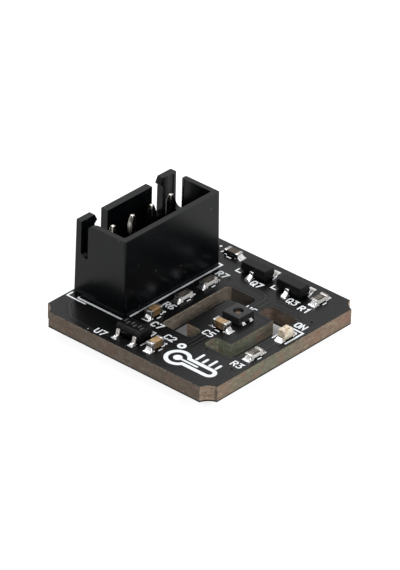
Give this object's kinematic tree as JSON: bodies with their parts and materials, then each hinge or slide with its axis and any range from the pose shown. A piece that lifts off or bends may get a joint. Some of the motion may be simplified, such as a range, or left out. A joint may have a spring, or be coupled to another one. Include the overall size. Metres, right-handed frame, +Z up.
{
  "type": "temperature sensor board",
  "caption": "Square black circuit board with a vented temperature sensor on an island between milled slots and an upright shrouded pin header for its cable.",
  "frame": {"origin": "under the middle of the board, level with the ends of the header's soldered tails, which are the lowest points", "axes": "+Z up through the board towards its parts, +Y along the header, +X from the header's side of the board to the far side"},
  "size_m": [0.02, 0.02, 0.0104],
  "materials": {
    "solder_mask": "satin black solder mask over a tan glass-fibre laminate",
    "black_nylon": "moulded black, satin",
    "tinned_pin": "bright tin plating",
    "solder": "bright solder",
    "tinned_end": "dull tin plating",
    "white_ceramic": "matte white ceramic",
    "resistor_film": "dark glazed film",
    "tan_ceramic": "matte tan ceramic",
    "black_epoxy": "matte moulded black",
    "tinned_lead": "tin plating",
    "sensor_epoxy": "matte dark grey",
    "sensor_die": "brown glossy film",
    "led_base": "matte cream",
    "led_lens": "milky cream resin"
  },
  "bodies": {
    "root": {"circuit_board": "solder_mask", "header_housing": "black_nylon", "header_pin_1": "tinned_pin", "header_pin_2": "tinned_pin", "header_pin_3": "tinned_pin", "header_pin_4": "tinned_pin", "header_solder_joints": "solder", "resistor_1_body": "white_ceramic", "resistor_1_film": "resistor_film", "resistor_1_terminals": "tinned_end", "resistor_2_body": "white_ceramic", "resistor_2_film": "resistor_film", "resistor_2_terminals": "tinned_end", "resistor_3_body": "white_ceramic", "resistor_3_film": "resistor_film", "resistor_3_terminals": "tinned_end", "resistor_4_body": "white_ceramic", "resistor_4_film": "resistor_film", "resistor_4_terminals": "tinned_end", "resistor_5_body": "white_ceramic", "resistor_5_film": "resistor_film", "resistor_5_terminals": "tinned_end", "capacitor_1_body": "tan_ceramic", "capacitor_1_terminals": "tinned_end", "capacitor_2_body": "tan_ceramic", "capacitor_2_terminals": "tinned_end", "capacitor_3_body": "tan_ceramic", "capacitor_3_terminals": "tinned_end", "chip_solder_joints": "solder", "transistor_1_body": "black_epoxy", "transistor_1_leads": "tinned_lead", "transistor_2_body": "black_epoxy", "transistor_2_leads": "tinned_lead", "transistor_solder_joints": "solder", "regulator_body": "black_epoxy", "regulator_leads": "tinned_lead", "regulator_solder_joints": "solder", "sensor_package": "sensor_epoxy", "sensor_element": "sensor_die", "sensor_contacts": "tinned_end", "sensor_solder_joints": "solder", "led_base": "led_base", "led_lens": "led_lens", "led_terminals": "tinned_end", "led_solder_joints": "solder"}
  },
  "joints": []
}
